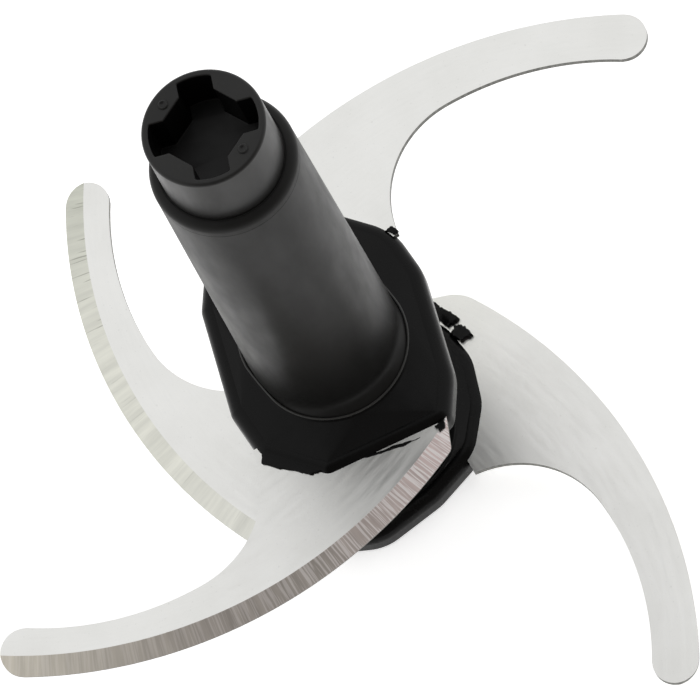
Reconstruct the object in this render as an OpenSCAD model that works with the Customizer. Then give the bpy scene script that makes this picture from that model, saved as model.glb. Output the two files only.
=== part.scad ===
// Four-blade knife insert of a food processor.
// The insert stands on its base at z = 0, with the drive axis on Z and the socket up.
// Two pairs of sickle blades sit a quarter turn apart in two hub blocks on one stem.

/* [Blades] */
// Thickness of the blade steel
blade_t = 1.2; // [0.8:0.1:1.6]
// Width of the ground bevel along the outer edge
bevel_w = 3.8; // [2:0.2:5]
// Flat left under the bevel at the cutting edge
edge_land = 0.2; // [0.1:0.05:0.4]
// Angle, about the outer edge's centre, at which an upper blade's tip sits
upper_tip_angle = 59.4; // [57:0.1:64]
// The same angle on a lower blade, which is a little shorter
lower_tip_angle = 62.8; // [60:0.1:64]
// Radius of the outer cutting edge
outer_r = 91.9; // [91:0.1:92.5]
// Radius of the inner edge along the blade
inner_r = 57.5; // [57:0.1:58]
// Radius where the inner edge turns in to the hub
root_r = 20; // [18:0.5:21]
// How far a lower blade's root reaches past an upper one's
lower_inset = 3.5; // [0:0.5:3.5]
// Turn from the upper pair to the lower pair
pair_turn = 90.8; // [89:0.2:91]
// Height of the upper pair above the lower pair
pair_gap = 44; // [30:1:50]

/* [Hubs] */
// Height of a hub block below the middle of its blades
hub_below = 4; // [3.5:0.5:5]
// Height of a hub block's lip above the middle of its blades
hub_above = 1.6; // [1.4:0.1:2.5]
// Height of the oval collar round the stem above the lip
collar_rise = 1.4; // [0.4:0.1:1.5]
// Rounding of a hub block's edges
hub_edge_r = 1.5; // [0.8:0.1:2]

/* [Stem] */
// Radius of the sleeve just under its shoulder
sleeve_top_r = 13.4; // [13:0.1:13.8]
// Radius of the sleeve at its foot
sleeve_foot_r = 14.6; // [14.2:0.1:14.8]
// Wall of the sleeve
sleeve_wall = 2; // [1.5:0.1:2.5]
// Height of the shoulder
shoulder_z = 134.8; // [125:0.2:150]
// Radius of the neck at its rim
neck_r = 11.1; // [10.9:0.1:11.2]
// Height of the neck above the shoulder
neck_h = 14.2; // [12:0.1:16]

/* [Drive socket] */
// Width of the cross slots between the four teeth
slot_w = 6.2; // [5:0.1:7]
// Radius of the wall at the ends of the slots
slot_end_r = 9.8; // [9.4:0.1:9.9]
// Distance across the flat faces of opposite teeth
teeth_gap = 13.8; // [12.5:0.1:14.5]
// Depth of the socket
socket_depth = 10; // [8:0.5:10]

/* [Spindle bore] */
// Radius of the bore that runs on the bowl's spindle
spindle_r = 5; // [4:0.1:5.5]
// Length of each bush
bush_h = 14; // [10:1:20]

/* [Hidden] */

round_fn = 128;
small_fn = 48;
hull_fn = 32;
fit = 0.02;
far = 200;
thin = 0.02;

lower_z = hub_below;
upper_z = lower_z + pair_gap;
rim_z = shoulder_z + neck_h;
socket_floor_z = rim_z - socket_depth;

// Each pair as the shift of its arcs, the inset of its root and its tip angle
upper_pair = [[0, 0], 0, upper_tip_angle];
lower_pair = [[0.6, -0.7], lower_inset, lower_tip_angle];

// Centres of the arcs that bound a blade, in the frame of the right upper blade
outer_c = [31.9, -50.5];
inner_c = [41.6, -26.9];

// The tip's round lies between both arcs; its centre is tip_reach from the outer arc's centre
arc_sum = outer_r + inner_r;
arc_span = inner_c - outer_c;
function tip_reach(dir) = (arc_sum * arc_sum - arc_span * arc_span) / (2 * (arc_sum - arc_span * dir));

// The root ends on a slanting line, on the tang's square end and on the wall round the stem
root_end = [-10.4, 31];
root_slant = 69.5;
tang_y = 12;
tang_x = -19;
stem_clear_r = 15.2;

// Half of each hub block's outline, as centres of its corner rounds; the rest is its half turn
corner_r = 3;
upper_half = [[-14.8, 17.2], [-19.1, -3.6], [-18.3, -12.4], [-10.4, -21.4], [11.2, -23.2]];
lower_half = [[19, 10.2], [20.2, 2.6], [17.9, -5.8], [12.6, -13], [3, -16.6], [-9, -18.4], [-14.5, -15.8]];
collar_r = 15.2;
collar_shift = 2.4;
collar_turn = 10;
lip_r = collar_r - 0.3;
hub_foot_r = 0.6;
lip_rise = 0.4;
sleeve_seat = 2.5;

core_r = 9;
core_wall = 2.5;
bush_r = core_r - core_wall;
spigot_r = 10.9;
spigot_h = 12;
flange_h = 5;
spacer_r = 14.2;
spacer_wall = 2.2;
spacer_collar_h = 3;

ring_h = 2;
ring_edge_r = 1.5;
ring_in_r = neck_r + 0.2;
neck_foot_r = neck_r + 0.15;
rim_edge_r = 0.6;
tooth_turn = 28.9;
nub_r = 0.75;
nub_rise = 0.3;

steel = [0.84, 0.84, 0.82];
dark_grey = [0.27, 0.27, 0.27];
black = [0.07, 0.07, 0.07];
ring_black = [0.11, 0.11, 0.11];
bush_grey = [0.75, 0.74, 0.7];

// ---------- blades ----------

// Outline of a blade, root at the hub and tip to the right
module blade_outline(pair) {
    arc_c = outer_c + pair[0];
    hollow_c = inner_c + pair[0];
    root_in = pair[1];
    tip_angle = pair[2];
    tip_dir = [cos(tip_angle), sin(tip_angle)];
    reach = tip_reach(tip_dir);
    tip_c = arc_c + reach * tip_dir;
    // the root's round touches the inner arc from inside
    root_turn = asin(root_in / (inner_r - root_r));
    root_c = hollow_c + (inner_r - root_r) * [-sin(root_turn), cos(root_turn)];
    difference() {
        translate(arc_c) circle(r = outer_r, $fn = round_fn);
        intersection() {
            translate(hollow_c) circle(r = inner_r, $fn = round_fn);
            translate(hollow_c) rotate(root_turn) translate([0, -far]) square(2 * far);
        }
        translate(root_c) circle(r = root_r, $fn = round_fn);
        circle(r = stem_clear_r, $fn = round_fn);
        // everything past the tip, left of the root, and past and below the tang
        translate(tip_c) rotate(tip_angle) translate([-far, -2 * far]) square(2 * far);
        translate(root_end - [root_in, 0]) rotate(root_slant) translate([-far, 0]) square(2 * far);
        translate([tang_x - 2 * far, -far]) square(2 * far);
        translate([-far, tang_y - 2 * far]) square(2 * far);
    }
    translate(tip_c) circle(r = outer_r - reach - fit, $fn = small_fn);
}

// One blade: the outline with its outer edge ground from above or from below
module blade(bevel_up, pair, grow = 0) {
    translate([0, 0, -blade_t / 2 - grow]) intersection() {
        linear_extrude(blade_t + 2 * grow) blade_outline(pair);
        if (grow == 0) blade_grind(bevel_up, pair);
    }
}

// Cone that leaves the bevel on the outer edge
module blade_grind(bevel_up, pair) {
    land_z = bevel_up ? edge_land : blade_t - edge_land;
    translate(outer_c + pair[0]) {
        if (bevel_up) {
            cylinder(h = land_z, r = outer_r, $fn = round_fn);
            translate([0, 0, land_z])
                cylinder(h = blade_t - land_z, r1 = outer_r, r2 = outer_r - bevel_w, $fn = round_fn);
        } else {
            cylinder(h = land_z, r1 = outer_r - bevel_w, r2 = outer_r, $fn = round_fn);
            translate([0, 0, land_z]) cylinder(h = blade_t - land_z, r = outer_r, $fn = round_fn);
        }
    }
}

module upper_blade_right() {
    color(steel) translate([0, 0, upper_z]) blade(false, upper_pair);
}

module upper_blade_left() {
    color(steel) translate([0, 0, upper_z]) rotate(180) blade(true, upper_pair);
}

module lower_blade_back() {
    color(steel) translate([0, 0, lower_z]) rotate(pair_turn) blade(true, lower_pair);
}

module lower_blade_front() {
    color(steel) translate([0, 0, lower_z]) rotate(pair_turn - 180) blade(false, lower_pair);
}

// ---------- hubs ----------

// Layer of a hub outline from z upwards, drawn in by inset
module hub_layer(half, z, inset, h = thin) {
    for (p = concat(half, -half))
        translate([p[0], p[1], z]) cylinder(h = h, r = corner_r - inset, $fn = hull_fn);
}

module collar_layer(z, r, h = thin) {
    rotate(collar_turn) for (side = [-1, 1])
        translate([0, side * collar_shift, z]) cylinder(h = h, r = r, $fn = 2 * hull_fn);
}

// Block round one pair of blades, with a faceted top that rises to an oval collar
module hub_block(half, bore_r) {
    side_z = -hub_below + hub_foot_r;
    shoulder = hub_above - hub_edge_r;
    difference() {
        union() {
            hull() {
                hub_layer(half, -hub_below, hub_foot_r);
                hub_layer(half, side_z, 0, shoulder - side_z);
                for (a = [30, 60, 90])
                    hub_layer(half, shoulder + hub_edge_r * sin(a), hub_edge_r * (1 - cos(a)));
                collar_layer(hub_above + collar_rise, collar_r);
            }
            // raised lip round the foot of the stem
            hull() collar_layer(hub_above, lip_r, collar_rise + lip_rise);
        }
        translate([0, 0, -hub_below - 1]) cylinder(h = 40, r = core_r + fit, $fn = round_fn);
        translate([0, 0, hub_above + collar_rise - sleeve_seat])
            cylinder(h = 10, r = bore_r + fit, $fn = round_fn);
    }
}

module upper_hub() {
    color(black) translate([0, 0, upper_z]) difference() {
        hub_block(upper_half, sleeve_foot_r);
        for (turn = [0, 180])
            rotate(turn) blade(true, upper_pair, fit);
    }
}

module lower_hub() {
    color(black) translate([0, 0, lower_z]) difference() {
        hub_block(lower_half, spacer_r);
        for (turn = [0, 180])
            rotate(pair_turn + turn) blade(true, lower_pair, fit);
    }
}

// Hollow column between the two hub blocks
module hub_spacer() {
    foot_z = lower_z + hub_above + collar_rise - sleeve_seat;
    top_z = upper_z - hub_below - fit;
    color(black) difference() {
        translate([0, 0, foot_z]) cylinder(h = top_z - foot_z, r = spacer_r, $fn = round_fn);
        translate([0, 0, foot_z - 1]) cylinder(h = top_z, r = core_r + fit, $fn = round_fn);
        translate([0, 0, foot_z + spacer_collar_h])
            cylinder(h = top_z - foot_z - 2 * spacer_collar_h, r = spacer_r - spacer_wall, $fn = round_fn);
    }
}

// ---------- stem ----------

// Tall sleeve with a slight draft, closed by an inner flange under the shoulder
module stem_sleeve() {
    foot_z = upper_z + hub_above + collar_rise - sleeve_seat;
    top_z = shoulder_z - ring_h;
    color(dark_grey) rotate_extrude($fn = round_fn) polygon([
        [sleeve_foot_r - sleeve_wall, foot_z],
        [sleeve_foot_r, foot_z],
        [sleeve_foot_r, foot_z + sleeve_seat],
        [sleeve_top_r, top_z],
        [spigot_r + fit, top_z],
        [spigot_r + fit, top_z - flange_h],
        [sleeve_top_r - sleeve_wall, top_z - flange_h]
    ]);
}

// Ring on the shoulder, with a rounded outer edge
module shoulder_ring() {
    color(ring_black) translate([0, 0, shoulder_z - ring_h + fit]) rotate_extrude($fn = round_fn) {
        translate([ring_in_r, 0]) square([sleeve_top_r - ring_in_r, ring_h - ring_edge_r - fit]);
        translate([ring_in_r, 0]) square([sleeve_top_r - ring_edge_r - ring_in_r, ring_h - fit]);
        translate([sleeve_top_r - ring_edge_r, ring_h - ring_edge_r - fit])
            circle(r = ring_edge_r, $fn = small_fn);
    }
}

// Tube that ties the socket, the hubs and the bushes together
module core_tube() {
    color(black) difference() {
        translate([0, 0, 0.3]) cylinder(h = shoulder_z - ring_h - 0.3, r = core_r, $fn = round_fn);
        translate([0, 0, -1]) cylinder(h = rim_z, r = bush_r + fit, $fn = round_fn);
    }
}

module bush(z) {
    translate([0, 0, z]) difference() {
        cylinder(h = bush_h, r = bush_r, $fn = round_fn);
        translate([0, 0, -1]) cylinder(h = bush_h + 2, r = spindle_r, $fn = round_fn);
    }
}

module upper_bush() {
    color(bush_grey) bush(shoulder_z - ring_h - bush_h - 0.5);
}

module lower_bush() {
    color(bush_grey) bush(0.3);
}

// ---------- drive socket ----------

// Cross of two slots and a square with flat faces towards the four teeth
module socket_section() {
    intersection() {
        circle(r = slot_end_r, $fn = round_fn);
        rotate(tooth_turn) union() {
            square(teeth_gap, center = true);
            for (turn = [45, 135])
                rotate(turn) square([3 * slot_end_r, slot_w], center = true);
        }
    }
}

// Neck with the driven socket above and a spigot into the sleeve below
module drive_socket() {
    body_z = shoulder_z - ring_h;
    color(dark_grey) {
        difference() {
            rotate_extrude($fn = round_fn) {
                polygon([
                    [0, body_z + fit],
                    [spigot_r, body_z + fit],
                    [neck_foot_r, body_z + 0.4],
                    [neck_foot_r, shoulder_z],
                    [neck_r, rim_z - rim_edge_r],
                    [neck_r - rim_edge_r, rim_z],
                    [0, rim_z]
                ]);
            }
            translate([0, 0, socket_floor_z]) linear_extrude(socket_depth + 1) socket_section();
        }
        difference() {
            translate([0, 0, body_z - spigot_h]) cylinder(h = spigot_h + 0.1, r = spigot_r, $fn = round_fn);
            translate([0, 0, body_z - spigot_h - 1])
                cylinder(h = spigot_h + 1, r = core_r + fit, $fn = round_fn);
        }
        // small round marks on two opposite teeth
        for (turn = [0, 180])
            rotate(tooth_turn + 90 + turn) translate([8.6, 0, rim_z - 0.1])
                cylinder(h = nub_rise + 0.1, r = nub_r, $fn = small_fn);
    }
}

drive_socket();
shoulder_ring();
stem_sleeve();
core_tube();
upper_bush();
lower_bush();
hub_spacer();
upper_hub();
lower_hub();
upper_blade_right();
upper_blade_left();
lower_blade_back();
lower_blade_front();
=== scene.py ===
import math
import random

import bmesh
import bpy
from mathutils import Matrix, Vector
from mathutils.geometry import tessellate_polygon


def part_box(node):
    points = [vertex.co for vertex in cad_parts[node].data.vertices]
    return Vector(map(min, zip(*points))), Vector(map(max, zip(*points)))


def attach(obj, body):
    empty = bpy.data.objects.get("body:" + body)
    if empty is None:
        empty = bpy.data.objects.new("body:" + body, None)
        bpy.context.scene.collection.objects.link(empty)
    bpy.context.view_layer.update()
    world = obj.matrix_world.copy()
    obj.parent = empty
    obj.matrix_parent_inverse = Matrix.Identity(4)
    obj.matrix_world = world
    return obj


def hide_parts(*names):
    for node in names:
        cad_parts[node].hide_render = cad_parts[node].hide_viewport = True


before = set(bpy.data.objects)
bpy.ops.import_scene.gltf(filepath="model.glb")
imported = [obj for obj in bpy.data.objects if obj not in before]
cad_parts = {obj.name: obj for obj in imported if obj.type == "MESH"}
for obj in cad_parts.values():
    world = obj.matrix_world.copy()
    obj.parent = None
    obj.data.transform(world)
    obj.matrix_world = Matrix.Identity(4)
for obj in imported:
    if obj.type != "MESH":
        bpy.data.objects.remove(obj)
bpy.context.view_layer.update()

# Looks of the four-blade knife insert. Lengths are in millimetres unless a name ends in _M.
MM = 0.001
ROOT = "root"


# ---------- sizes from the frame ----------

def low(node, axis):
    """Lowest coordinate of a CAD node along an axis, in millimetres."""
    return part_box(node)[0][axis] / MM


def high(node, axis):
    """Highest coordinate of a CAD node along an axis, in millimetres."""
    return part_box(node)[1][axis] / MM


X, Z = 0, 2
BLADE_T = high("upper_blade_right", Z) - low("upper_blade_right", Z)
UPPER_Z = (high("upper_blade_right", Z) + low("upper_blade_right", Z)) / 2
LOWER_Z = (high("lower_blade_back", Z) + low("lower_blade_back", Z)) / 2
NUB_RISE = 0.3
RIM_Z = high("drive_socket", Z) - NUB_RISE
SHOULDER_Z = high("shoulder_ring", Z)
SLEEVE_TOP_Z = low("shoulder_ring", Z)
RING_R = high("shoulder_ring", X)
NECK_FOOT_R = high("drive_socket", X)
CORE_R = high("core_tube", X)
SPACER_R = high("hub_spacer", X)
HUB_BELOW = UPPER_Z - low("upper_hub", Z)

# ---------- driving dimensions ----------

# blades, in the frame of the right upper blade: arcs of the cutting edge, the back and the root's round
OUTER_C, OUTER_R = (31.9, -50.5), 91.9
INNER_C, INNER_R = (41.6, -26.9), 57.5
ROOT_R = 20.0
BEVEL_W = 3.8
EDGE_LAND = 0.2
PAIR_TURN = 90.8
TANG_X, TANG_Y = -19.0, 12.0
ROOT_END, ROOT_SLANT = (-10.4, 31.0), 69.5
BLADE_EDGE_R = 0.1
# the tip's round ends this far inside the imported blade's
TIP_INSET = 0.04
# from root to tip along the cutting edge, for the bevels' tones
BLADE_LENGTH_M = 0.12
# each pair as the shift of its arcs, the inset of its root and its tip angle
UPPER_PAIR = ((0.0, 0.0), 0.0, 59.4)
LOWER_PAIR = ((0.6, -0.7), 3.5, 62.8)

# hub blocks: half of each outline, as centres of its corner rounds
UPPER_HALF = [(-14.8, 17.2), (-19.1, -3.6), (-18.3, -12.4), (-10.4, -21.4), (11.2, -23.2)]
LOWER_HALF = [(19, 10.2), (20.2, 2.6), (17.9, -5.8), (12.6, -13), (3, -16.6), (-9, -18.4),
              (-14.5, -15.8)]
CORNER_R = 3.0
HUB_ABOVE = 1.6
HUB_EDGE_R = 2.6
HUB_FOOT_R = 0.6
# the oval collar round the stem: a circle whose halves are moved apart along one direction
COLLAR_R, COLLAR_SHIFT, COLLAR_TURN = 15.2, 2.4, 10.0
COLLAR_RISE = 1.4
LIP_R, LIP_RISE, LIP_EDGE_R = 14.9, 0.4, 0.25
LIP_DIP = 0.05
SEAT_DEPTH = 2.5
BEAD_R = 0.22
# how soon the collar and the sleeve's flare cross from one half of the oval to the other
COLLAR_CROSS, FLARE_CROSS = 8, 3

# stem
SLEEVE_FOOT_R = 14.6
SLEEVE_WALL = 2.0
SLEEVE_EDGE_R = 0.12
# the flare's height, and how far its foot sits below the lip and inside the sleeve's radius
FLARE_H, FLARE_SINK, FLARE_IN = 4.5, 0.1, 0.15
FLANGE_H = 5.0
RING_EDGE_R = 1.8
RING_FOOT_CUT = 0.05
# the ring's step at the neck: its depth, and its width at the top and at the bottom
STEP_H, STEP_TOP_W, STEP_FOOT_W = 0.12, 0.35, 0.25
NECK_R = 11.1
NECK_FOOT_CUT = 0.4
RIM_EDGE_R = 0.7
SPIGOT_R, SPIGOT_H = 10.9, 12.0

# drive socket
SLOT_W, SLOT_END_R = 6.2, 9.8
TEETH_GAP = 13.8
TOOTH_CORNER_R, SLOT_CORNER_R = 0.3, 0.35
SOCKET_DEPTH = 10.0
SOCKET_FLOOR_R = 0.2
TOOTH_TURN = 28.9
SOCKET_CHAMFER = 0.3
NUB_R, NUB_AT_R = 0.95, 8.6

# surroundings: white, with a dark patch whose edge fades between two angles from its middle
WORLD_WHITE = (0.95, 0.95, 0.95)
WORLD_DARK = (0.19, 0.175, 0.165)
DARK_TOWARDS = (0.0, -0.8, 0.6)
DARK_WITHIN, WHITE_BEYOND = 40, 62
FLOOR_GLOW = 0.62
FLOOR_HALF_M, FLOOR_GAP_M = 6.0, 0.0002

# the camera: its angles in degrees, what it looks at, and its distance from there
CAMERA_ELEVATION, CAMERA_ROLL = 65.0, 29.5
CAMERA_AIM, CAMERA_AWAY_M = (3.14, -2.98, 46.61), 1.2985
CAMERA_LENS, CAMERA_SENSOR = 360, 36

# mesh detail: points round a full circle, and the distance within which points are one
ROUND_STEPS = 192
WELD = 0.002


# ---------- mesh helpers ----------

def turned(point, degrees):
    """A 2D point turned about the origin."""
    x, y = point
    a = math.radians(degrees)
    return x * math.cos(a) - y * math.sin(a), x * math.sin(a) + y * math.cos(a)


def at_z(points, z):
    """2D points lifted to a height."""
    return [(p[0], p[1], z) for p in points]


def circle(r, steps=ROUND_STEPS):
    """Points of a circle about the axis."""
    return [turned((r, 0), 360 * i / steps) for i in range(steps)]


def quarter(steps):
    """(cosine, sine) pairs from 0 to 90 degrees."""
    angles = [math.pi / 2 * i / steps for i in range(steps + 1)]
    return [(math.cos(a), math.sin(a)) for a in angles]


def loft(bm, loops, cap_first=False, cap_last=False):
    """Quads between closed loops of equal count; returns the loops' vertices."""
    rings = [[bm.verts.new(p) for p in loop] for loop in loops]
    for a, b in zip(rings, rings[1:]):
        for i in range(len(a)):
            j = (i + 1) % len(a)
            bm.faces.new((a[i], a[j], b[j], b[i]))
    if cap_first:
        bm.faces.new(list(reversed(rings[0])))
    if cap_last:
        bm.faces.new(rings[-1])
    return rings


def turn_profile(bm, profile):
    """A closed (radius, height) profile turned about the axis into a ring-shaped solid."""
    loft(bm, [at_z(circle(r), z) for r, z in profile + profile[:1]])


def piece(name, bm, materials, replaces=(), place=None, sharp=30):
    """Turns a bmesh in millimetres into a finished piece that rides on the insert.

    Edges that turn by more than sharp degrees are shaded as creases.
    """
    bmesh.ops.remove_doubles(bm, verts=bm.verts, dist=WELD)
    bmesh.ops.dissolve_degenerate(bm, edges=bm.edges, dist=WELD / 2)
    bmesh.ops.recalc_face_normals(bm, faces=bm.faces)
    bmesh.ops.scale(bm, vec=(MM, MM, MM), verts=bm.verts)
    if place is not None:
        bm.transform(place)
    mesh = bpy.data.meshes.new(name)
    bm.to_mesh(mesh)
    bm.free()
    for polygon in mesh.polygons:
        polygon.use_smooth = True
    mesh.set_sharp_from_angle(angle=math.radians(sharp))
    obj = bpy.data.objects.new(name, mesh)
    bpy.context.scene.collection.objects.link(obj)
    for material in materials:
        mesh.materials.append(material)
    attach(obj, ROOT)
    if replaces:
        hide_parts(*replaces)
    return obj


# ---------- material helpers ----------

def node(tree, kind, **values):
    """A shader node with its settings and unlinked inputs given by name."""
    made = tree.nodes.new(kind)
    for name, value in values.items():
        if name in made.inputs:
            made.inputs[name].default_value = value
        else:
            setattr(made, name, value)
    return made


def link(tree, source, output, target, socket):
    """Joins an output to an input, each given by name or by number."""
    tree.links.new(source.outputs[output], target.inputs[socket])


def start_material(name):
    """A new node material, its tree and its shader."""
    material = bpy.data.materials.new(name)
    material.use_nodes = True
    tree = material.node_tree
    return material, tree, tree.nodes["Principled BSDF"]


def noise_of(tree, source, output, scale, detail, stretch=(1, 1, 1)):
    """Noise read at a position, with features about 1 / scale metres across."""
    mapping = node(tree, "ShaderNodeMapping")
    mapping.inputs["Scale"].default_value = stretch
    link(tree, source, output, mapping, "Vector")
    made = node(tree, "ShaderNodeTexNoise", Scale=scale, Detail=detail, Roughness=0.55)
    link(tree, mapping, "Vector", made, "Vector")
    return made


def ramp_of(tree, source, output, stops):
    """A colour ramp over a value; stops are (position, grey or colour)."""
    made = node(tree, "ShaderNodeValToRGB")
    ramp = made.color_ramp
    while len(ramp.elements) < len(stops):
        ramp.elements.new(0.5)
    for element, (at, colour) in zip(ramp.elements, stops):
        element.position = at
        if isinstance(colour, (int, float)):
            colour = (colour, colour, colour)
        element.color = (*colour, 1)
    link(tree, source, output, made, "Fac")
    return made


def range_of(tree, source, output, low_out, high_out):
    """A noise's value rescaled from the middle of its range."""
    made = node(tree, "ShaderNodeMapRange", **{
        "From Min": 0.3, "From Max": 0.7, "To Min": low_out, "To Max": high_out})
    link(tree, source, output, made, "Value")
    return made


# a mix node's sockets when it mixes colours
MIX_FACTOR, MIX_A, MIX_B, MIX_OUT = 0, 6, 7, 2


def mixed(tree, blend, factor, a, b):
    """A colour mix; a, b and factor are each a value or a (node, output) pair."""
    made = node(tree, "ShaderNodeMix", data_type="RGBA", blend_type=blend)
    for number, value in ((MIX_FACTOR, factor), (MIX_A, a), (MIX_B, b)):
        socket = made.inputs[number]
        if isinstance(value, tuple) and isinstance(value[0], bpy.types.Node):
            tree.links.new(value[0].outputs[value[1]], socket)
        else:
            socket.default_value = value
    return made


def bumps(tree, shader, layers):
    """Chains bump nodes; layers are (node, output, distance in metres, strength)."""
    last = None
    for source, output, distance, strength in layers:
        made = node(tree, "ShaderNodeBump", Strength=strength, Distance=distance)
        link(tree, source, output, made, "Height")
        if last is not None:
            link(tree, last, "Normal", made, "Normal")
        last = made
    link(tree, last, "Normal", shader, "Normal")


# ---------- materials ----------

def moulded_plastic(name, colour, roughness, specular, grain, scuffs=0.0):
    """Moulded plastic: flow marks, fine grain, uneven gloss and a few pale scuffs."""
    material, tree, shader = start_material(name)
    place = node(tree, "ShaderNodeTexCoord")
    flow = noise_of(tree, place, "Object", 70, 4)
    fine = noise_of(tree, place, "Object", 2600, 2)
    haze = noise_of(tree, place, "Object", 260, 5, stretch=(1, 1, 0.35))
    dark = tuple(c * 0.82 for c in colour)
    light = tuple(c * 1.2 for c in colour)
    tone = ramp_of(tree, flow, "Fac", [(0.3, dark), (0.7, light)])
    scuff = ramp_of(tree, haze, "Fac", [(0.66, 0), (0.78, 1)])
    scuff_share = node(tree, "ShaderNodeMath", operation="MULTIPLY")
    link(tree, scuff, "Color", scuff_share, 0)
    scuff_share.inputs[1].default_value = scuffs
    pale = tuple(min(1, c * 2.2 + 0.02) for c in colour) + (1,)
    final = mixed(tree, "MIX", (scuff_share, "Value"), (tone, "Color"), pale)
    link(tree, final, MIX_OUT, shader, "Base Color")
    gloss = range_of(tree, haze, "Fac", roughness - 0.05, roughness + 0.07)
    link(tree, gloss, "Result", shader, "Roughness")
    shader.inputs["Specular IOR Level"].default_value = specular
    bumps(tree, shader, [(flow, "Fac", 0.0003, 0.06), (fine, "Fac", 0.00003, grain)])
    return material


def rolled_steel(name):
    """Satin rolled sheet: pale mottling, a faint grain along the blade and hairline marks."""
    material, tree, shader = start_material(name)
    shader.inputs["Metallic"].default_value = 1.0
    uv = node(tree, "ShaderNodeUVMap", uv_map="Blade")
    cloud = noise_of(tree, uv, "UV", 60, 5)
    grain = noise_of(tree, uv, "UV", 900, 3, stretch=(0.12, 1, 1))
    speck = noise_of(tree, uv, "UV", 1500, 2)
    tone = ramp_of(tree, cloud, "Fac", [(0.3, (0.83, 0.83, 0.805)), (0.7, (0.89, 0.89, 0.87))])
    streak = ramp_of(tree, grain, "Fac", [(0.3, 0.955), (0.62, 1.0)])
    streaked = mixed(tree, "MULTIPLY", 1.0, (tone, "Color"), (streak, "Color"))
    pits = ramp_of(tree, speck, "Fac", [(0.26, 0.9), (0.34, 1.0)])
    final = mixed(tree, "MULTIPLY", 1.0, (streaked, MIX_OUT), (pits, "Color"))
    link(tree, final, MIX_OUT, shader, "Base Color")
    gloss = range_of(tree, grain, "Fac", 0.30, 0.42)
    link(tree, gloss, "Result", shader, "Roughness")
    bumps(tree, shader, [(cloud, "Fac", 0.0002, 0.05), (grain, "Fac", 0.00002, 0.12)])
    return material


def ground_steel(name, reflection_tones, line_tone, line_shares, line_cut):
    """A ground bevel: root, middle and tip tones along the blade, crossed by fine grinding lines. The
    tones are painted reflection: they give a flat face the reflection that changes from root to tip.

    line_shares says how strong the lines are at the root and at the tip, and line_cut how few they are.
    """
    material, tree, shader = start_material(name)
    shader.inputs["Metallic"].default_value = 1.0
    uv = node(tree, "ShaderNodeUVMap", uv_map="Blade")
    parts = node(tree, "ShaderNodeSeparateXYZ")
    link(tree, uv, "UV", parts, "Vector")
    drift = node(tree, "ShaderNodeMapRange", **{"From Min": 0.0, "From Max": BLADE_LENGTH_M})
    link(tree, parts, "X", drift, "Value")
    # painted reflection: the root, middle and tip tones stand in for how the bevel's reflection changes
    # along the blade
    root_tone, middle_tone, tip_tone = reflection_tones
    tone = ramp_of(tree, drift, "Result", [(0.18, root_tone), (0.42, middle_tone), (0.62, middle_tone),
                                           (0.95, tip_tone)])
    fine = noise_of(tree, uv, "UV", 2300, 2, stretch=(1, 0.04, 1))
    broad = noise_of(tree, uv, "UV", 420, 4, stretch=(1, 0.1, 1))
    shade = ramp_of(tree, broad, "Fac", [(0.3, 0.84), (0.7, 1.14)])
    shaded = mixed(tree, "MULTIPLY", 1.0, (tone, "Color"), (shade, "Color"))
    lines = ramp_of(tree, fine, "Fac", [(line_cut, 0), (line_cut + 0.07, 1)])
    root_share, tip_share = line_shares
    fade = ramp_of(tree, drift, "Result", [(0.2, root_share), (0.55, (root_share + tip_share) / 4),
                                           (0.72, tip_share)])
    share = node(tree, "ShaderNodeMath", operation="MULTIPLY")
    link(tree, lines, "Color", share, 0)
    link(tree, fade, "Color", share, 1)
    # the lines are real grinding marks; where line_tone is near-white, as on the warm bevel, it is a
    # painted glint on them
    final = mixed(tree, "MIX", (share, "Value"), (shaded, MIX_OUT), (*line_tone, 1))
    link(tree, final, MIX_OUT, shader, "Base Color")
    gloss = range_of(tree, broad, "Fac", 0.27, 0.40)
    link(tree, gloss, "Result", shader, "Roughness")
    bumps(tree, shader, [(broad, "Fac", 0.00005, 0.15), (fine, "Fac", 0.00003, 0.3)])
    return material


def sheared_steel(name):
    """The edge faces through the sheet's thickness: dark grey, to give the dark line along each edge,
    with marks through its thickness.
    """
    material, tree, shader = start_material(name)
    shader.inputs["Metallic"].default_value = 1.0
    uv = node(tree, "ShaderNodeUVMap", uv_map="Blade")
    marks = noise_of(tree, uv, "UV", 1200, 3)
    # a dark tone that gives the dark line along each edge
    tone = ramp_of(tree, marks, "Fac", [(0.35, (0.13, 0.13, 0.12)), (0.7, (0.30, 0.30, 0.28))])
    link(tree, tone, "Color", shader, "Base Color")
    gloss = range_of(tree, marks, "Fac", 0.42, 0.6)
    link(tree, gloss, "Result", shader, "Roughness")
    bumps(tree, shader, [(marks, "Fac", 0.00005, 0.3)])
    return material


# each plastic as its colour, roughness, specular level, grain and share of scuffs
STEM = moulded_plastic("stem_plastic", (0.012, 0.012, 0.0115), 0.36, 0.17, 0.06)
NECK = moulded_plastic("neck_plastic", (0.020, 0.020, 0.0195), 0.34, 0.24, 0.08, 0.15)
RING = moulded_plastic("ring_plastic", (0.016, 0.016, 0.0155), 0.42, 0.13, 0.35, 0.45)
HUB = moulded_plastic("hub_plastic", (0.0042, 0.0042, 0.0042), 0.26, 0.13, 0.06, 0.05)
# the socket's inside: the neck's plastic made near-black, as painted shade for the dark recess
SOCKET_SHADE_PLASTIC = moulded_plastic("socket_shade_plastic", (0.004, 0.004, 0.004), 0.34, 0.2, 0.08)
# much paler than the hub's plastic: a painted highlight for the light line at the lip's crest
BEAD_HIGHLIGHT_PLASTIC = moulded_plastic("bead_highlight_plastic", (0.05, 0.05, 0.048), 0.3, 0.3, 0.05)
BUSH = moulded_plastic("bush_plastic", (0.60, 0.59, 0.55), 0.45, 0.5, 0.05)
SHEET = rolled_steel("blade_steel")
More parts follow.
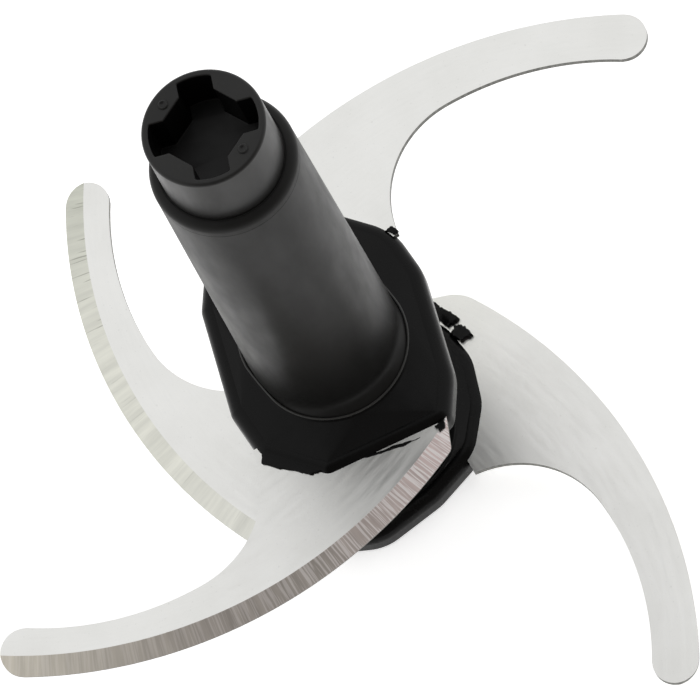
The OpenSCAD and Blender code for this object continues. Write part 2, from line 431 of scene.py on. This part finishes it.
# the two bevels are one ground steel: their tones along the blade are painted reflection, and the warm
# bevel's near-white lines are painted glints
WARM_REFLECTION_BEVEL = ground_steel("bevel_warm_reflection", [(0.74, 0.62, 0.60), (0.50, 0.46, 0.42), (0.72, 0.68, 0.59)],
                          (1.0, 0.95, 0.94), (0.9, 0.15), 0.48)
PALE_REFLECTION_BEVEL = ground_steel("bevel_pale_reflection", [(0.76, 0.76, 0.70), (0.74, 0.74, 0.67), (0.56, 0.57, 0.50)],
                          (0.26, 0.26, 0.22), (0.12, 0.7), 0.62)
CUT_EDGE = sheared_steel("cut_edge")


# ---------- blades ----------

def on_ray(angle, centre, r, far_side=True):
    """Distance along the ray from the outer arc's centre to a circle that it meets."""
    dx, dy = centre[0] - OUTER_C[0], centre[1] - OUTER_C[1]
    along = dx * math.cos(angle) + dy * math.sin(angle)
    half_chord = math.sqrt(max(0.0, r * r - (dx * dx + dy * dy - along * along)))
    return along + half_chord if far_side else along - half_chord


def line_meets_circle(start, along, r):
    """Where a line going up meets a circle about the outer arc's centre."""
    offset = start - Vector(OUTER_C)
    half = offset.dot(along)
    reach = -half + math.sqrt(half * half - offset.length_squared + r * r)
    return start + along * reach


def tip_round(tip_angle):
    """(reach from the outer arc's centre, radius) of the round that joins the two arcs at the tip."""
    c = Vector(INNER_C) - Vector(OUTER_C)
    total = OUTER_R + INNER_R
    towards = Vector((math.cos(math.radians(tip_angle)), math.sin(math.radians(tip_angle))))
    reach = (total * total - c.length_squared) / (2 * (total - c.dot(towards)))
    return reach, OUTER_R - reach - TIP_INSET


def blade_stations(pair, corner_r):
    """(ray angle, inner radius, outer radius) from the tip to the root, about the outer arc's centre."""
    shift, root_in, tip_angle = pair
    tang_y = TANG_Y - shift[1]
    root_end = Vector(ROOT_END) - Vector(shift) - Vector((root_in, 0))
    reach, r = tip_round(tip_angle)
    tip = math.radians(tip_angle)
    tip_c = (OUTER_C[0] + reach * math.cos(tip), OUTER_C[1] + reach * math.sin(tip))
    stations = []
    half = math.asin(r / reach)
    tip_steps, arc_steps, root_steps = 24, 90, 70
    for i in range(tip_steps):
        angle = tip - half * math.cos(math.pi / 2 * i / tip_steps)
        stations.append((angle, on_ray(angle, tip_c, r, False), on_ray(angle, tip_c, r, True)))
    # the root's round touches the inner arc from inside, and ends where it meets the tang
    root_turn = math.asin(root_in / (INNER_R - ROOT_R))
    towards_root = Vector((-math.sin(root_turn), math.cos(root_turn)))
    root_c = Vector(INNER_C) + towards_root * (INNER_R - ROOT_R)
    touch = Vector(INNER_C) + towards_root * INNER_R - Vector(OUTER_C)
    corner_x = root_c.x - math.sqrt(ROOT_R ** 2 - (tang_y - root_c.y) ** 2)
    turn_in = math.atan2(touch.y, touch.x)
    corner = math.atan2(tang_y - OUTER_C[1], corner_x - OUTER_C[0])
    for i in range(arc_steps):
        angle = tip + (turn_in - tip) * i / arc_steps
        stations.append((angle, on_ray(angle, INNER_C, INNER_R), OUTER_R))
    for i in range(arc_steps):
        angle = turn_in + (corner - turn_in) * math.sin(math.pi / 2 * i / arc_steps)
        stations.append((angle, on_ray(angle, root_c, ROOT_R), OUTER_R))
    # from there to the slanting end, whose corner with the cutting edge is rounded
    slant = Vector(turned((1, 0), ROOT_SLANT))
    inward = Vector((slant.y, -slant.x))
    corner_c = line_meets_circle(root_end + inward * corner_r, slant, OUTER_R - corner_r)
    tang_x = TANG_X - shift[0]
    foot_x = max(tang_x, root_end.x + slant.x * (tang_y - root_end.y) / slant.y)
    bend = math.atan2(corner_c.y - OUTER_C[1], corner_c.x - OUTER_C[0])
    last = math.atan2(tang_y - OUTER_C[1], foot_x - OUTER_C[0])
    for i in range(root_steps + 1):
        angle = corner + (last - corner) * i / root_steps
        ray = Vector((math.cos(angle), math.sin(angle)))
        r_out = OUTER_R
        if angle > bend:
            on_slant = (root_end - Vector(OUTER_C)).cross(slant) / ray.cross(slant)
            on_round = on_ray(angle, corner_c, corner_r)
            past_round = (ray * on_round + Vector(OUTER_C) - corner_c).dot(slant) < 0
            r_out = on_slant if past_round else on_round
        if ray.x < 0:
            r_out = min(r_out, (tang_x - OUTER_C[0]) / ray.x)
        r_in = (tang_y - OUTER_C[1]) / math.sin(angle)
        stations.append((angle, min(r_in, r_out), r_out))
    return stations


def make_blade(name, node_name, pair, z, turn, bevel_up, bevel_material, corner_r):
    """One blade as a polar grid about its cutting edge's centre, with a ground bevel."""
    across_flat, across_bevel = 10, 4
    bm = bmesh.new()
    uv_at = {}
    tops, bottoms = [], []
    bevel_r = OUTER_R - BEVEL_W
    top_z = BLADE_T / 2
    stations = blade_stations(pair, corner_r)
    shift_x, shift_y = pair[0]
    root_angle = stations[-1][0]
    for angle, r_in, r_out in stations:
        r_mid = min(max(bevel_r, r_in), r_out)
        radii = [r_in + (r_mid - r_in) * i / across_flat for i in range(across_flat)]
        radii += [r_mid + (r_out - r_mid) * i / across_bevel for i in range(across_bevel + 1)]
        top, bottom = [], []
        for r in radii:
            x = OUTER_C[0] + r * math.cos(angle)
            y = OUTER_C[1] + r * math.sin(angle)
            ground = max(0.0, r - bevel_r) / BEVEL_W * (BLADE_T - EDGE_LAND)
            for height, row in ((top_z - ground, top), (-top_z, bottom)):
                vert = bm.verts.new((x + shift_x, y + shift_y, height if bevel_up else -height))
                uv_at[vert] = ((root_angle - angle) * OUTER_R, OUTER_R - r)
                row.append(vert)
        tops.append(top)
        bottoms.append(bottom)
    flat, bevel, cut = 0, 1, 2

    def quad(look, *verts):
        """A face in one of the three looks, unless its corners fall together on a line."""
        if len({tuple(round(c, 5) for c in v.co) for v in verts}) > 2:
            bm.faces.new(verts).material_index = look

    for i in range(len(stations) - 1):
        for j in range(across_flat + across_bevel):
            look = bevel if j >= across_flat else flat
            quad(look, tops[i][j], tops[i][j + 1], tops[i + 1][j + 1], tops[i + 1][j])
            quad(flat, bottoms[i][j + 1], bottoms[i][j], bottoms[i + 1][j], bottoms[i + 1][j + 1])
        quad(cut, tops[i][0], tops[i + 1][0], bottoms[i + 1][0], bottoms[i][0])
        quad(cut, tops[i + 1][-1], tops[i][-1], bottoms[i][-1], bottoms[i + 1][-1])
    for j in range(across_flat + across_bevel):
        quad(flat, tops[-1][j], tops[-1][j + 1], bottoms[-1][j + 1], bottoms[-1][j])
    layer = bm.loops.layers.uv.new("Blade")
    for face in bm.faces:
        for loop in face.loops:
            along, across = uv_at[loop.vert]
            loop[layer].uv = (along * MM, across * MM)
    place = Matrix.Translation((0, 0, z * MM)) @ Matrix.Rotation(math.radians(turn), 4, "Z")
    materials = [SHEET, bevel_material, CUT_EDGE]
    obj = piece(name, bm, materials, [node_name], place, sharp=12)
    soften = obj.modifiers.new("edge", "BEVEL")
    soften.width = BLADE_EDGE_R * MM
    soften.segments = 2
    soften.limit_method = "ANGLE"
    soften.angle_limit = math.radians(35)


# ---------- hub blocks ----------

def hub_outline(half, soft=(), soft_r=CORNER_R):
    """(centre, outward angle, radius) round a hub block's outline; corners listed in soft are rounder."""
    step_angle = math.radians(4)
    corners = [(Vector(p), i in soft) for i, p in enumerate(half + [(-x, -y) for x, y in half])]
    if sum(a.cross(b) for (a, _), (b, _) in zip(corners, corners[1:] + corners[:1])) < 0:
        corners.reverse()
    made = []
    for (before, _), (at, is_soft), (after, _) in zip(corners[-1:] + corners[:-1], corners,
                                                      corners[1:] + corners[:1]):
        start = math.atan2(at.y - before.y, at.x - before.x) - math.pi / 2
        end = math.atan2(after.y - at.y, after.x - at.x) - math.pi / 2
        while end < start:
            end += 2 * math.pi
        radius = soft_r if is_soft else CORNER_R
        middle = (start + end) / 2
        back = (radius - CORNER_R) / math.cos((end - start) / 2)
        centre = at - Vector((math.cos(middle), math.sin(middle))) * back
        steps = max(2, math.ceil((end - start) / step_angle))
        made += [(centre, start + (end - start) * i / steps, radius) for i in range(steps + 1)]
    return made


def outline_loop(outline, inset, z):
    """The hub outline drawn in by inset, at a height."""
    return [(c.x + (r - inset) * math.cos(a), c.y + (r - inset) * math.sin(a), z) for c, a, r in outline]


def oval_point(facing, r, z, shift, cross):
    """The point of an oval that faces one way: a circle whose halves are moved apart by shift."""
    along = Vector(turned((0, 1), COLLAR_TURN))
    facing = Vector(facing)
    side = max(-1.0, min(1.0, facing.dot(along) * cross))
    at = along * side * shift + facing * r
    return at.x, at.y, z


def collar_loop(outline, r, z, shift=COLLAR_SHIFT):
    """The oval collar's points that face the same ways as the hub outline's."""
    return [oval_point((math.cos(a), math.sin(a)), r, z, shift, COLLAR_CROSS) for _, a, _ in outline]


def make_hub(name, node_name, half, z, foot_r, soft, soft_r):
    """A hub block: rounded wall, faceted top that rises to an oval collar, and a raised lip."""
    outline = hub_outline(half, soft, soft_r)
    bm = bmesh.new()
    shoulder = HUB_ABOVE - HUB_EDGE_R
    collar_z = HUB_ABOVE + COLLAR_RISE
    lip_z = collar_z + LIP_RISE
    loops = []
    for c, s in quarter(6):
        loops.append(outline_loop(outline, HUB_FOOT_R * (1 - s), -HUB_BELOW + HUB_FOOT_R * (1 - c)))
    for c, s in quarter(18):
        loops.append(outline_loop(outline, HUB_EDGE_R * (1 - c), shoulder + HUB_EDGE_R * s))
    loops.append(collar_loop(outline, COLLAR_R, collar_z))
    for c, s in quarter(6):
        loops.append(collar_loop(outline, LIP_R - LIP_EDGE_R * (1 - c), lip_z - LIP_EDGE_R * (1 - s)))
    seat_z = collar_z - SEAT_DEPTH
    inner = [(foot_r, lip_z - LIP_DIP), (foot_r, seat_z), (CORE_R, seat_z), (CORE_R, -HUB_BELOW)]
    loops += [collar_loop(outline, r, height, 0) for r, height in inner]
    loops.append(loops[0])
    loft(bm, loops)
    place = Matrix.Translation((0, 0, z * MM))
    piece(name, bm, [HUB], [node_name], place, sharp=7)


# ---------- stem ----------

UPPER_LIP_Z = UPPER_Z + HUB_ABOVE + COLLAR_RISE + LIP_RISE


def make_sleeve():
    """The drafted sleeve, whose foot flares out to the upper hub's oval lip."""
    foot_z = UPPER_Z + HUB_ABOVE + COLLAR_RISE - SEAT_DEPTH
    top_z = SLEEVE_TOP_Z
    lip_z = UPPER_LIP_Z
    draft = (SLEEVE_FOOT_R - RING_R) / (top_z - lip_z)
    bm = bmesh.new()
    loops = [at_z(circle(SLEEVE_FOOT_R - SLEEVE_WALL), foot_z), at_z(circle(SLEEVE_FOOT_R), foot_z)]
    flare_steps = 16
    for i in range(flare_steps + 1):
        rise = i / flare_steps
        z = lip_z - FLARE_SINK + FLARE_H * rise
        r = SLEEVE_FOOT_R - draft * FLARE_H * rise - FLARE_IN * (1 - rise)
        shift = COLLAR_SHIFT * (1 - rise) ** 3
        loops.append([oval_point(p, r, z, shift, FLARE_CROSS) for p in circle(1.0)])
    for c, s in quarter(8):
        loops.append(at_z(circle(RING_R - SLEEVE_EDGE_R * (1 - c)), top_z - SLEEVE_EDGE_R * (1 - s)))
    loops.append(at_z(circle(SPIGOT_R), top_z))
    loops.append(at_z(circle(SPIGOT_R), top_z - FLANGE_H))
    loops.append(at_z(circle(RING_R - SLEEVE_WALL), top_z - FLANGE_H))
    loops.append(loops[0])
    loft(bm, loops)
    piece("sleeve", bm, [STEM], ["stem_sleeve"], sharp=20)


def make_bead():
    """The bead where the sleeve's foot is bonded to the upper hub's lip, in a paler plastic that paints
    the lip crest's light line as a highlight.
    """
    outline = hub_outline(UPPER_HALF)
    steps = 10
    loops = []
    for i in range(steps + 1):
        out, up = turned((BEAD_R, 0), 360 * i / steps)
        loops.append(collar_loop(outline, LIP_R - BEAD_R + out, UPPER_LIP_Z + up))
    bm = bmesh.new()
    loft(bm, loops)
    piece("foot_bead", bm, [BEAD_HIGHLIGHT_PLASTIC])


def make_ring():
    """The ring on the shoulder, with a rounded outer edge and a small step at the neck."""
    bottom, top = SLEEVE_TOP_Z, SHOULDER_Z
    profile = [(NECK_FOOT_R, bottom), (RING_R - RING_FOOT_CUT, bottom), (RING_R, bottom + RING_FOOT_CUT)]
    profile += [(RING_R - RING_EDGE_R * (1 - c), top - RING_EDGE_R * (1 - s)) for c, s in quarter(10)]
    profile += [(NECK_FOOT_R + STEP_TOP_W, top), (NECK_FOOT_R + STEP_FOOT_W, top - STEP_H)]
    profile += [(NECK_FOOT_R, top - STEP_H)]
    bm = bmesh.new()
    turn_profile(bm, profile)
    piece("ring_on_shoulder", bm, [RING], ["shoulder_ring"], sharp=20)


def filleted(points, radii):
    """A closed 2D outline with its corners rounded."""
    steps = 5
    made = []
    count = len(points)
    for i, (p, r) in enumerate(zip(points, radii)):
        if r == 0:
            made.append(tuple(p))
            continue
        corner = Vector(p)
        before = (Vector(points[i - 1]) - corner).normalized()
        after = (Vector(points[(i + 1) % count]) - corner).normalized()
        half = math.acos(before.dot(after)) / 2
        centre = corner + (before + after).normalized() * (r / math.sin(half))
        first = corner + before * (r / math.tan(half)) - centre
        last = corner + after * (r / math.tan(half)) - centre
        start = math.atan2(first.y, first.x)
        sweep = math.remainder(math.atan2(last.y, last.x) - start, 2 * math.pi)
        for k in range(steps + 1):
            a = start + sweep * k / steps
            made.append((centre.x + r * math.cos(a), centre.y + r * math.sin(a)))
    return made


def socket_outline():
    """The socket's section: four flat tooth faces between four slots."""
    face = TEETH_GAP / 2
    half_w = SLOT_W / 2
    tooth_half = face - half_w * math.sqrt(2)
    end = math.sqrt(SLOT_END_R ** 2 - half_w ** 2)
    slot_in = ((end + half_w) / math.sqrt(2), (end - half_w) / math.sqrt(2))
    start = math.atan2(slot_in[1], slot_in[0])
    sweep = math.pi / 2 - 2 * start
    points, radii = [], []
    arc_steps = 8
    for k in range(4):
        quarter_points = [((face, -tooth_half), TOOTH_CORNER_R), ((face, tooth_half), TOOTH_CORNER_R),
                          (slot_in, SLOT_CORNER_R)]
        for i in range(1, arc_steps):
            a = start + sweep * i / arc_steps
            quarter_points.append(((SLOT_END_R * math.cos(a), SLOT_END_R * math.sin(a)), 0))
        quarter_points.append(((slot_in[1], slot_in[0]), SLOT_CORNER_R))
        for p, r in quarter_points:
            points.append(turned(p, 90 * k + TOOTH_TURN))
            radii.append(r)
    return filleted(points, radii)


def grown(points, amount):
    """A closed counter-clockwise 2D outline moved outwards."""
    made = []
    count = len(points)
    for i, p in enumerate(points):
        before = Vector(points[i]) - Vector(points[i - 1])
        after = Vector(points[(i + 1) % count]) - Vector(points[i])
        normal = (before.normalized() + after.normalized()).normalized()
        made.append((p[0] + normal.y * amount, p[1] - normal.x * amount))
    return made


def make_socket():
    """The neck with its rounded rim, the four-toothed socket and two small craters on the rim."""
    bm = bmesh.new()
    base_z = SLEEVE_TOP_Z
    centre_r = 0.01
    profile = [(centre_r, base_z), (CORE_R, base_z), (CORE_R, base_z - SPIGOT_H),
               (SPIGOT_R, base_z - SPIGOT_H), (SPIGOT_R, base_z), (NECK_FOOT_R, base_z + NECK_FOOT_CUT),
               (NECK_FOOT_R, SHOULDER_Z)]
    profile += [(NECK_R - RIM_EDGE_R * (1 - c), RIM_Z - RIM_EDGE_R * (1 - s)) for c, s in quarter(12)]
    rings = loft(bm, [at_z(circle(r), z) for r, z in profile], cap_first=True)
    # the socket, from the worn chamfer at the rim down to the round at its floor
    hole = socket_outline()
    floor_z = RIM_Z - SOCKET_DEPTH
    loops = []
    for c, s in quarter(5):
        loops.append(at_z(grown(hole, SOCKET_CHAMFER * (1 - s) ** 1.2), RIM_Z - SOCKET_CHAMFER * (1 - c)))
    loops.append(at_z(hole, floor_z + SOCKET_FLOOR_R))
    for c, s in quarter(4)[1:]:
        loops.append(at_z(grown(hole, -SOCKET_FLOOR_R * (1 - c)), floor_z + SOCKET_FLOOR_R * (1 - s)))
    outer_faces = set(bm.faces)
    inner = loft(bm, loops, cap_last=True)
    # walls and floor below the chamfer take the near-black plastic: painted shade inside the socket
    for face in bm.faces:
        if face not in outer_faces and face.calc_center_median().z < RIM_Z - SOCKET_CHAMFER:
            face.material_index = 1
    cap = rings[-1] + inner[0]
    for corners in tessellate_polygon([[v.co for v in rings[-1]], [v.co for v in inner[0]]]):
        bm.faces.new([cap[i] for i in corners])
    # a crater as (share of its radius, height over the rim), from its sunk foot to its middle
    crater = [(1, -0.2), (1, 0.05), (0.9, 0.22), (0.75, NUB_RISE), (0.6, 0.26), (0.45, 0.12), (0.2, 0.03)]
    for side in (0, 180):
        x, y = turned((NUB_AT_R, 0), TOOTH_TURN + 90 + side)
        marks = [[(x + p[0], y + p[1], RIM_Z + rise) for p in circle(share * NUB_R, 32)]
                 for share, rise in crater]
        loft(bm, marks, cap_first=True, cap_last=True)
    piece("socket_neck", bm, [NECK, SOCKET_SHADE_PLASTIC], ["drive_socket"], sharp=25)


# ---------- moulding flash ----------

def make_flash(name, edge, z, thickness, seed, wobble):
    """A thin ragged film of flash on a blade: its edge points are joined by uneven torn stretches."""
    rng = random.Random(seed)
    steps = 7
    outline = []
    for a, b in zip(edge, edge[1:] + edge[:1]):
        for i in range(steps):
            s = i / steps
            outline.append((a[0] + (b[0] - a[0]) * s + rng.uniform(-wobble, wobble),
                            a[1] + (b[1] - a[1]) * s + rng.uniform(-wobble, wobble)))
    bm = bmesh.new()
    middle = Vector((sum(p[0] for p in outline), sum(p[1] for p in outline))) / len(outline)
    loops = []
    # the film's rounded edge, as shares of its thickness and of the way to its middle
    for rise, shrink in ((0.0, 0.0), (0.5, 0.0), (0.9, 0.05), (1.0, 0.12)):
        drawn_in = [Vector(p) + (middle - Vector(p)) * shrink for p in outline]
        loops.append(at_z(drawn_in, z + thickness * rise))
    loft(bm, loops, cap_first=True, cap_last=True)
    piece(name, bm, [HUB], sharp=40)


# ---------- stage ----------

def make_floor():
    """A plain white light table just under the insert."""
    bm = bmesh.new()
    bmesh.ops.create_grid(bm, x_segments=1, y_segments=1, size=FLOOR_HALF_M)
    mesh = bpy.data.meshes.new("floor")
    bm.to_mesh(mesh)
    bm.free()
    floor = bpy.data.objects.new("floor", mesh)
    floor.location.z = -FLOOR_GAP_M
    bpy.context.scene.collection.objects.link(floor)
    material, tree, shader = start_material("floor_white")
    shader.inputs["Base Color"].default_value = (0.9, 0.9, 0.9, 1)
    shader.inputs["Roughness"].default_value = 0.8
    shader.inputs["Specular IOR Level"].default_value = 0.1
    shader.inputs["Emission Color"].default_value = (1, 1, 1, 1)
    shader.inputs["Emission Strength"].default_value = FLOOR_GLOW
    mesh.materials.append(material)


def make_world():
    """Even white surroundings, with the darker shape of the camera and its rig on the viewer's side."""
    world = bpy.data.worlds.new("studio")
    world.use_nodes = True
    tree = world.node_tree
    place = node(tree, "ShaderNodeTexCoord")
    facing = node(tree, "ShaderNodeVectorMath", operation="DOT_PRODUCT")
    link(tree, place, "Generated", facing, 0)
    facing.inputs[1].default_value = Vector(DARK_TOWARDS).normalized()
    ramp = ramp_of(tree, facing, "Value", [(math.cos(math.radians(WHITE_BEYOND)), WORLD_WHITE),
                                           (math.cos(math.radians(DARK_WITHIN)), WORLD_DARK)])
    ramp.color_ramp.interpolation = "EASE"
    link(tree, ramp, "Color", tree.nodes["Background"], "Color")
    bpy.context.scene.world = world
    bpy.context.scene.view_settings.view_transform = "Standard"


def make_camera():
    """A long lens from high above, rolled so that the stem leans to the left."""
    data = bpy.data.cameras.new("camera")
    data.lens = CAMERA_LENS
    data.sensor_width = CAMERA_SENSOR
    data.clip_start = 0.05
    data.clip_end = 20
    obj = bpy.data.objects.new("camera", data)
    elevation, roll = math.radians(CAMERA_ELEVATION), math.radians(CAMERA_ROLL)
    forward = Vector((0, math.cos(elevation), -math.sin(elevation)))
    level_right = Vector((1, 0, 0))
    level_up = level_right.cross(forward)
    right = level_right * math.cos(roll) - level_up * math.sin(roll)
    up = level_right * math.sin(roll) + level_up * math.cos(roll)
    turn = Matrix((right, up, -forward)).transposed()
    eye = Vector(CAMERA_AIM) * MM - forward * CAMERA_AWAY_M
    obj.matrix_world = Matrix.Translation(eye) @ turn.to_4x4()
    bpy.context.scene.collection.objects.link(obj)
    bpy.context.scene.camera = obj


# ---------- build ----------

make_camera()
make_world()
make_floor()

make_blade("blade_upper_right", "upper_blade_right", UPPER_PAIR, UPPER_Z, 0, False, PALE_REFLECTION_BEVEL, 5)
make_blade("blade_upper_left", "upper_blade_left", UPPER_PAIR, UPPER_Z, 180, True, WARM_REFLECTION_BEVEL, 1)
make_blade("blade_lower_back", "lower_blade_back", LOWER_PAIR, LOWER_Z, PAIR_TURN, True, PALE_REFLECTION_BEVEL, 5)
make_blade("blade_lower_front", "lower_blade_front", LOWER_PAIR, LOWER_Z, PAIR_TURN - 180, False,
           PALE_REFLECTION_BEVEL, 8)
make_hub("hub_block_upper", "upper_hub", UPPER_HALF, UPPER_Z, SLEEVE_FOOT_R, (5, 6, 7, 8), 12)
make_hub("hub_block_lower", "lower_hub", LOWER_HALF, LOWER_Z, SPACER_R, range(0, 6), 10)
make_bead()

# torn flash round the blades' roots, on the lower and on the upper blades' tops
LOWER_TOP, UPPER_TOP = LOWER_Z + BLADE_T / 2, UPPER_Z + BLADE_T / 2
make_flash("flash_strip", [(20.0, 17.5), (21.8, 16.4), (22.4, 14.4), (23.6, 12.6), (24.2, 10.6),
                           (21.8, 10.2), (20.4, 13.0)],
           LOWER_TOP, thickness=1.0, seed=3, wobble=0.25)
make_flash("flash_flake", [(21.4, 8.8), (22.8, 9.7), (24.2, 9.4), (25.0, 6.4), (22.4, 6.4)],
           LOWER_TOP, thickness=1.1, seed=4, wobble=0.25)
make_flash("flash_spike", [(19.8, 13.8), (21.2, 14.0), (22.0, 12.4), (21.0, 12.0)],
           UPPER_TOP, thickness=0.5, seed=7, wobble=0.15)
make_flash("flash_ledge", [(-19.6, -11.5), (-21.4, -15.2), (-18.9, -18.0), (-15.9, -20.6), (-14.4, -22.2),
                           (-12.6, -22.6), (-9.0, -24.0), (-10.0, -21.0), (-16.0, -15.0)],
           UPPER_TOP, thickness=0.35, seed=5, wobble=0.1)
make_flash("flash_smear", [(-8.0, -23.4), (-3.0, -24.9), (3.0, -26.2), (6.5, -26.5), (3.0, -25.5)],
           UPPER_TOP, thickness=0.1, seed=6, wobble=0.14)
make_flash("flash_corner", [(9.8, -26.0), (10.2, -27.4), (11.4, -27.2), (11.9, -25.6)],
           UPPER_TOP, thickness=0.6, seed=8, wobble=0.12)
make_sleeve()
make_ring()
make_socket()

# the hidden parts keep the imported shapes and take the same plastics
for node_name, plastic in (("hub_spacer", HUB), ("core_tube", HUB), ("upper_bush", BUSH),
                           ("lower_bush", BUSH)):
    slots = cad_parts[node_name].data.materials
    slots.clear()
    slots.append(plastic)
